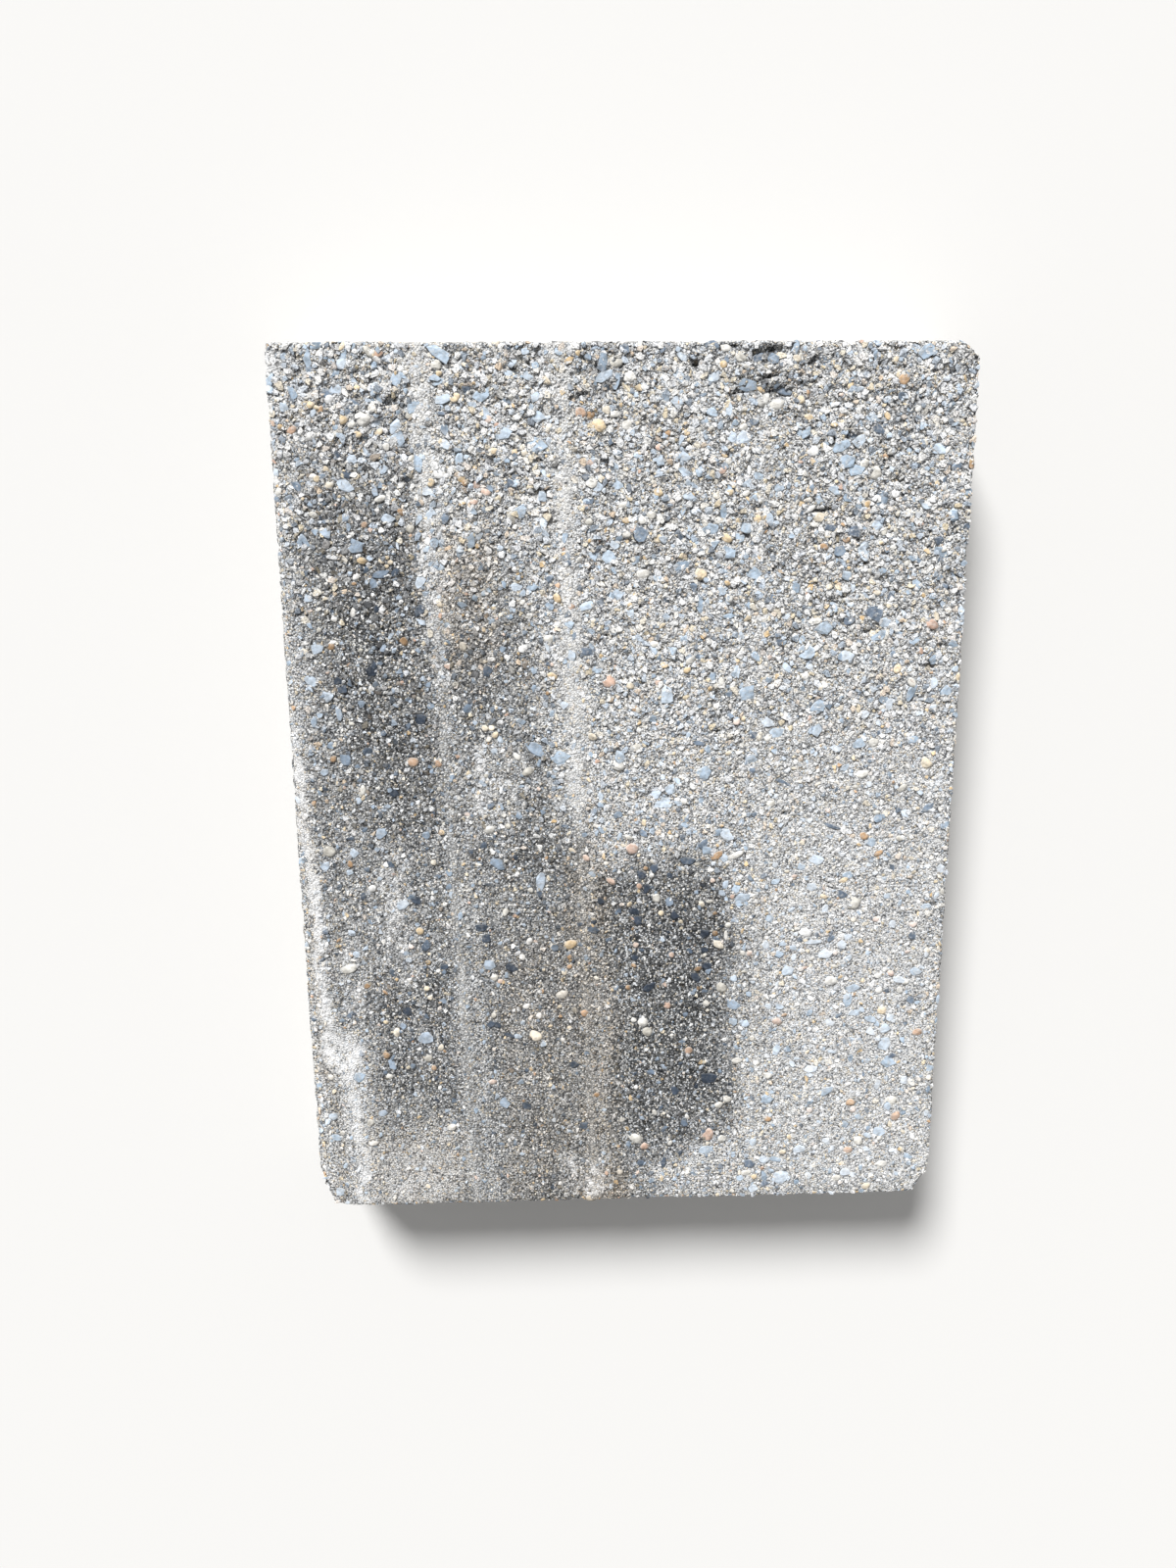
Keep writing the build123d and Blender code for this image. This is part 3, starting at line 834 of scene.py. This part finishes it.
def scatter_tree():
    """Spreads lumps over a skin, sunk in it, beside stones already laid there."""
    tree = bpy.data.node_groups.new("scatter_lumps", "GeometryNodeTree")
    for name, kind in (
        ("Geometry", "Geometry"), ("Laid stones", "Object"), ("Lumps", "Collection"),
        ("Material", "Material"), ("Where", "String"), ("Size", "String"), ("Spacing", "Float"),
        ("Smallest radius", "Float"), ("Largest radius", "Float"), ("Rarity of large", "Float"),
        ("Flatness", "Float"), ("Sink", "Float"), ("Tilt", "Float"), ("Seed", "Int"),
    ):
        tree.interface.new_socket(name, in_out="INPUT", socket_type="NodeSocket" + kind)
    tree.interface.new_socket("Geometry", in_out="OUTPUT", socket_type="NodeSocketGeometry")
    given = add_node(tree, "NodeGroupInput").outputs

    # A random value's own seed is the given seed plus its place in this list.
    drawn = []
    for kind, low, high in (
        ("FLOAT", 0.0, 1.0),
        ("FLOAT_VECTOR", (0.8, 0.6, 0.8), (1.5, 1.1, 1.15)),
        ("INT", 0, 1000),
        ("FLOAT_VECTOR", (-1.0, -1.0, -math.pi), (1.0, 1.0, math.pi)),
        ("FLOAT", 0.0, 1.0),
    ):
        own = {0: given["Seed"], 1: float(len(drawn))}
        seed = add_node(tree, "Math", {"operation": "ADD"}, own)
        sockets = {"FLOAT": (2, 3, 1), "FLOAT_VECTOR": (0, 1, 0), "INT": (4, 5, 2)}
        first, last, result = sockets[kind]
        limits = {first: low, last: high, "Seed": seed}
        node = add_node(tree, "FunctionNodeRandomValue", {"data_type": kind}, limits)
        drawn.append(node.outputs[result])
    share, stretch, kind_of_lump, turn, tint = drawn

    number = {"data_type": "FLOAT"}
    where = add_node(tree, "GeometryNodeInputNamedAttribute", number, {"Name": given["Where"]})
    size = add_node(tree, "GeometryNodeInputNamedAttribute", number, {"Name": given["Size"]})
    spread = {"Mesh": given["Geometry"], "Distance Min": given["Spacing"], "Density Max": 1e7}
    spread |= {"Density Factor": where, "Seed": given["Seed"]}
    apart = {"distribute_method": "POISSON"}
    spots = add_node(tree, "GeometryNodeDistributePointsOnFaces", apart, spread).outputs
    kinds = {"Collection": given["Lumps"], "Separate Children": True, "Reset Children": True}
    lumps = add_node(tree, "GeometryNodeCollectionInfo", None, kinds)
    rare = add_node(tree, "Math", {"operation": "POWER"}, {0: share, 1: given["Rarity of large"]})
    radii = {"To Min": given["Smallest radius"], "To Max": given["Largest radius"]}
    radius = add_node(tree, "MapRange", None, {"Value": rare, **radii})
    radius = add_node(tree, "Math", TIMES, {0: radius, 1: size})
    flat = add_node(tree, "CombineXYZ", None, {"X": 1.0, "Y": 1.0, "Z": given["Flatness"]})
    shape = add_node(tree, "VectorMath", TIMES, {0: stretch, 1: flat})
    scaling = {"operation": "SCALE"}
    scale = add_node(tree, "VectorMath", scaling, {0: shape, "Scale": radius})
    put = {"Points": spots["Points"], "Instance": lumps, "Pick Instance": True}
    put |= {"Instance Index": kind_of_lump, "Rotation": spots["Rotation"], "Scale": scale}
    placed = add_node(tree, "GeometryNodeInstanceOnPoints", None, put)
    lean = add_node(tree, "CombineXYZ", None, {"X": given["Tilt"], "Y": given["Tilt"], "Z": 1.0})
    turn = add_node(tree, "VectorMath", TIMES, {0: turn, 1: lean})
    about = {"Instances": placed, "Rotation": turn, "Local Space": True}
    turned = add_node(tree, "GeometryNodeRotateInstances", None, about)
    depth = add_node(tree, "Math", TIMES, {0: given["Sink"], 1: radius})
    inward = add_node(tree, "VectorMath", scaling, {0: spots["Normal"], "Scale": depth})
    inward = add_node(tree, "VectorMath", scaling, {0: inward, "Scale": -MM})
    into = {"Instances": turned, "Translation": inward, "Local Space": False}
    sunk = add_node(tree, "GeometryNodeTranslateInstances", None, into)
    each = {"domain": "INSTANCE", **number}
    told = {"Geometry": sunk, "Name": "tint", "Value": tint}
    tinted = add_node(tree, "GeometryNodeStoreNamedAttribute", each, told)
    real = add_node(tree, "GeometryNodeRealizeInstances", None, {"Geometry": tinted})
    laid = add_node(tree, "GeometryNodeObjectInfo", None, {"Object": given["Laid stones"]})
    joined = add_node(tree, "GeometryNodeJoinGeometry", None, {0: laid.outputs["Geometry"]})
    tree.links.new(real.outputs[0], joined.inputs[0])
    coat = {"Geometry": joined, "Material": given["Material"]}
    dressed = add_node(tree, "GeometryNodeSetMaterial", None, coat)
    add_node(tree, "NodeGroupOutput", None, {0: dressed})
    return tree


lump_scatter = scatter_tree()


def scattered(name, laid, where, lumps, material, spacing, radii, shape, seed, smooth):
    """One scatter over the slab's skin, as a plain mesh that rides with the slab."""
    inputs = {
        "Lumps": lumps, "Material": material, "Where": where, "Size": "grade",
        "Spacing": spacing * MM, "Smallest radius": radii[0], "Largest radius": radii[1],
        "Seed": seed, **shape,
    }
    if laid:
        inputs["Laid stones"] = laid
    base = new_object(name + "_base", slab_body.data)
    modifier = base.modifiers.new("scatter", "NODES")
    modifier.node_group = lump_scatter
    for item in lump_scatter.interface.items_tree:
        if item.in_out == "INPUT" and item.name in inputs:
            modifier[item.identifier] = inputs[item.name]
    bpy.context.view_layer.update()
    ready = base.evaluated_get(bpy.context.evaluated_depsgraph_get())
    mesh = bpy.data.meshes.new_from_object(ready)
    for spare in filter(None, (base, laid)):
        bpy.data.objects.remove(spare)
    mesh.name = name
    tints = np.empty(len(mesh.vertices))
    mesh.attributes["tint"].data.foreach_get("value", tints)
    spots = np.clip(read_points(mesh), slab_low, slab_high)
    # Lumps that reach the limit stop at levels of their own, so no two faces fall together.
    limit = slab_high[2] - 0.01 * (1 + seed % 5) - 0.07 * tints
    spots[:, 2] = np.minimum(spots[:, 2], limit)
    write_points(mesh, spots)
    mesh.polygons.foreach_set("use_smooth", [smooth] * len(mesh.polygons))
    made = new_object(name, mesh)
    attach(made, "root")


# Slate is a fine dull blue-grey, quartz milky and a little glossy, the sandstones dusty.
SLATE = (
    (0.0, "#667384"), (0.12, "#8595A8"), (0.25, "#AABDD0"), (0.6, "#C3D5E7"), (1.0, "#DCE8F5"),
)
MILKY = ((0.0, "#E2DED3"), (0.4, "#EFECE4"), (0.8, "#F8F6F1"), (1.0, "#FFFFFF"))
YELLOW = ((0.0, "#EACB9C"), (0.4, "#F3DAB2"), (0.7, "#F7E7CA"), (1.0, "#FBF2E2"))
RUST = ((0.0, "#C4A17C"), (0.35, "#D6B491"), (0.6, "#DDBBA8"), (1.0, "#F0DDD1"))
# Damp, and shade painted into hollows, darken stones to these tones.
DAMP_AND_SHADE_SLATE = ((0.0, "#7C828B"), (0.25, "#7B818B"), (0.45, "#8F959E"), (1.0, "#BEC4CC"))
DAMP_AND_SHADE_STONE = ((0.0, "#C6C4C0"), (1.0, "#FAF9F6"))
VEINS = ((0.35, "#C9C8C6"), (0.62, "#FFFFFF"))
CEMENT_FILM = ((0.50, "#000000"), (0.66, "#A8A8A8"))
CEMENT_ROUND = ((0.45, "#D0D0D0"), (0.85, "#000000"))
# Painted shade: lumps darken towards their foot, where the gap round them lies in shade.
PAINTED_FOOT_SHADE = ((0.0, "#5C5D60"), (0.42, "#FFFFFF"))


def coated(tree, colour, pattern, stops, cement):
    """A colour under cement, as thick as a ramp makes a pattern."""
    cover = add_node(tree, "ValToRGB", {"stops": stops}, {"Fac": pattern})
    return add_node(tree, "Mix", COVERING, {0: cover, 6: colour, 7: linear(cement)}).outputs[2]


def painted_foot_shade(tree, colour):
    """Darkens a lump towards its foot: painted shade in the gap round it."""
    rise = add_node(tree, "Attribute", {"attribute_name": "rise"}).outputs["Fac"]
    return darkened(tree, colour, rise, PAINTED_FOOT_SHADE)


def gravel_stone(name, stops, damp_and_shade_stops, roughness, specular):
    """Stone of one sort: 2.2 mm veins, 1.4 mm patches of cement left on it."""
    material, tree = new_material(name)
    at = add_node(tree, "TexCoord").outputs
    tint = add_node(tree, "Attribute", {"attribute_name": "tint"}).outputs["Fac"]
    colour = add_node(tree, "ValToRGB", {"stops": stops}, {"Fac": tint})
    patterns = []
    for width, detail in ((2.2, 4.0), (1.4, 3.0)):
        lumps = {"Vector": at["Object"], "Scale": 1 / (width * MM), "Detail": detail}
        patterns.append(add_node(tree, "TexNoise", None, lumps).outputs["Fac"])
    veins, film = patterns
    colour = darkened(tree, colour, veins, VEINS)
    colour = coated(tree, colour, film, CEMENT_FILM, "#CFCECB")
    facing = add_node(tree, "SeparateXYZ", None, {0: at["Normal"]})
    colour = coated(tree, colour, facing.outputs["Z"], CEMENT_ROUND, "#D8D7D4")
    colour = weathered(tree, colour, tint, damp_and_shade_stops, lime_share=0.6)
    # Each stone gets painted shade towards its foot.
    finish_matt(tree, painted_foot_shade(tree, colour), film, 0.3, roughness, specular)
    return material


slate = gravel_stone("weathered_slate", SLATE, DAMP_AND_SHADE_SLATE, roughness=0.75, specular=0.4)
quartz = gravel_stone("river_quartz", MILKY, DAMP_AND_SHADE_STONE, roughness=0.6, specular=0.45)
yellow = gravel_stone("yellow_sandstone", YELLOW, DAMP_AND_SHADE_STONE, roughness=0.8, specular=0.3)
rust = gravel_stone("rust_red_stone", RUST, DAMP_AND_SHADE_STONE, roughness=0.8, specular=0.3)
LYING_FLAT = {"Rarity of large": 3.0, "Flatness": 0.6, "Sink": 0.0, "Tilt": 0.18}
for name, rows, lumps, tints, laying_seed, material, spacing, radii, seed in (
    ("slate_chips", PALE_SLATE, chips, (0.45, 1.0), 51, slate, 10.5, (1.0, 3.3), 41),
    ("dark_slate_chips", DARK_SLATE, chips, (0.0, 0.12), 52, slate, 40, (1.1, 2.4), 45),
    ("quartz_pebbles", QUARTZ, pebbles, (0.2, 1.0), 53, quartz, 16, (1.0, 2.3), 42),
    ("yellow_pebbles", YELLOW_STONE, pebbles, (0.4, 1.0), 54, yellow, 17, (0.8, 1.9), 43),
    ("rust_pebbles", RUST_STONE, pebbles, (0.0, 1.0), 55, rust, 32, (0.8, 1.8), 44),
):
    # Pebbles are worn round, and chips keep their flat faces.
    smooth = lumps == pebbles
    crown = PEBBLE_CROWN if smooth else SLATE_CROWN
    laid = lay_stones(name + "_laid", rows, lumps, crown, tints, laying_seed)
    scattered(name, laid, "coarse", lumps, material, spacing, radii, LYING_FLAT, seed, smooth)


# Sand and small stones of the mix under a film of cement: cream, grey, blue-grey and
# ochre grains of 1 to 5 mm. They stand out all over the bed face, thinly on the sides.
# Damp, and shade painted into hollows, darken the soft grains to these tones.
DAMP_AND_SHADE_SAND = (
    (0.0, "#3C3E42"), (0.36, "#5E6062"), (0.52, "#8E9092"), (0.60, "#EAEBEC"), (1.0, "#FFFFFE"),
)
SAND_FILM = ((0.36, "#B6B7B9"), (0.58, "#FFFFFF"))
SAND = (
    (0.00, "#7E8084"), (0.08, "#B4B5B7"), (0.18, "#EAEAEA"), (0.30, "#FCFBF9"), (0.46, "#FDFCFA"),
    (0.53, "#BFCAD7"), (0.60, "#EDF0F3"), (0.68, "#FBFAF8"), (0.75, "#E3D3B5"), (0.81, "#F6F0E2"),
    (0.88, "#FDFCFA"), (0.93, "#D6C4AE"), (1.00, "#FFFFFF"),
)
FINE_GRAVEL = (
    (0.00, "#8E959E"), (0.08, "#BCC7D2"), (0.15, "#ECEDEF"), (0.30, "#FDFDFC"), (0.52, "#F8F6F2"),
    (0.60, "#EADBBD"), (0.66, "#F8F5EE"), (0.74, "#FDFDFD"), (0.82, "#BFCDDC"), (0.88, "#EEF2F7"),
    (0.94, "#E4CFB6"), (1.00, "#FEFEFF"),
)
HARD_STEP = 37.0


def river_sand(name, stops):
    """Grains that differ in colour and hardness, each a little mottled by cement."""
    material, tree = new_material(name)
    place = add_node(tree, "TexCoord").outputs["Object"]
    tint = add_node(tree, "Attribute", {"attribute_name": "tint"}).outputs["Fac"]
    colour = add_node(tree, "ValToRGB", {"stops": stops}, {"Fac": tint})
    patches = {"Vector": place, "Scale": 1 / (0.7 * MM), "Detail": 2.0}
    film = add_node(tree, "TexNoise", None, patches).outputs["Fac"]
    colour = darkened(tree, colour, film, SAND_FILM)
    many = add_node(tree, "Math", TIMES, {0: tint, 1: HARD_STEP})
    hard = add_node(tree, "Math", {"operation": "FRACT"}, {0: many})
    colour = weathered(tree, colour, hard, DAMP_AND_SHADE_SAND, lime_share=0.75)
    # Each grain gets painted shade towards its foot.
    finish_matt(tree, painted_foot_shade(tree, colour), film, depth_mm=0.25, roughness=0.88, specular=0.3)
    return material


grains = lump_set("sand_lump", kinds=8, corners=6, jitter=0.25, crown=1.0, foot=0.35)
coated_lumps = lump_set("coated_lump", kinds=9, corners=8, jitter=0.28, crown=0.6, foot=0)
sand = river_sand("cemented_river_sand", SAND)
fine = river_sand("cemented_fine_gravel", FINE_GRAVEL)
for name, where, lumps, material, spacing, radii, flatness, sink, seed in (
    ("coated_stones_1", "stony", coated_lumps, fine, 3.0, (0.55, 1.75), 0.7, 0.0, 31),
    ("coated_stones_2", "stony", coated_lumps, fine, 3.0, (0.55, 1.45), 0.7, 0.0, 35),
    ("sand_grains_1", "sandy", grains, sand, 2.15, (0.42, 0.95), 0.9, 0.3, 32),
    ("sand_grains_2", "sandy", grains, sand, 2.15, (0.42, 0.95), 0.9, 0.3, 33),
    ("sand_grains_3", "sandy", grains, sand, 2.15, (0.38, 0.85), 0.9, 0.3, 34),
    ("slate_grit", "gritty", coated_lumps, slate, 6.6, (0.7, 2.1), 0.6, 0.0, 36),
    ("sandstone_grit", "gritty", coated_lumps, yellow, 10, (0.6, 1.5), 0.7, 0.0, 37),
    ("rust_grit", "gritty", coated_lumps, rust, 15, (0.6, 1.5), 0.7, 0.0, 38),
):
    shape = {"Rarity of large": 2.0, "Flatness": flatness, "Sink": sink, "Tilt": 0.32}
    scattered(name, None, where, lumps, material, spacing, radii, shape, seed, smooth=False)


# The room: a plain pale floor, soft light from beyond the upper end, as the sky lit the
# leaning slab, and an even fill. The camera looks down as the photograph does.
FLOOR_HALF = 4000.0
FLOOR_CORNERS = ((-1, -1), (1, -1), (1, 1), (-1, 1))
# The floor is matt white painted board, in which nothing mirrors.
white_board, tree = new_material("matt_white_board")
surface = tree.nodes["Principled BSDF"].inputs
surface["Base Color"].default_value = linear("#E4E3E1")
surface["Roughness"].default_value = 0.9
surface["Specular IOR Level"].default_value = 0.1
floor_points = [(i * FLOOR_HALF, j * FLOOR_HALF, slab_low[2]) for i, j in FLOOR_CORNERS]
floor = new_mesh_object("floor", floor_points, [(0, 1, 2, 3)])
floor.data.materials.append(white_board)

SKY_HEIGHT = 38
SKY_TURN = 20
SKY_WIDTH = 16
FILL = 0.32
LEVEL = 1.23
sky_data = bpy.data.lights.new("sky_lamp", "SUN")
sky_data.angle = math.radians(SKY_WIDTH)
sky_data.energy = (LEVEL - FILL) * math.pi / math.sin(math.radians(SKY_HEIGHT))
sky_lamp = new_object("sky_lamp", sky_data)
sky_lamp.rotation_euler = (math.radians(SKY_HEIGHT - 90), 0, math.radians(SKY_TURN))
world = bpy.data.worlds.new("studio")
bpy.context.scene.world = world
world.use_nodes = True
background = world.node_tree.nodes["Background"]
background.inputs["Color"].default_value = linear("#FFFFFF")
background.inputs["Strength"].default_value = FILL

CAMERA_PLACE = (-34.1, 131.9, 577.3)
CAMERA_TURN = (-13.154, -1.966, -0.432)
FOCAL_PIXELS = 1200
PHOTO_HEIGHT = 1600
SENSOR_WIDTH = 36.0
camera_data = bpy.data.cameras.new("camera")
camera_data.sensor_width = SENSOR_WIDTH
camera_data.lens = SENSOR_WIDTH * FOCAL_PIXELS / PHOTO_HEIGHT
camera_data.clip_start = 0.01
camera = new_object("camera", camera_data)
camera.location = Vector(CAMERA_PLACE) * MM
camera.rotation_euler = [math.radians(angle) for angle in CAMERA_TURN]
bpy.context.scene.camera = camera
bpy.context.scene.view_settings.view_transform = "Standard"
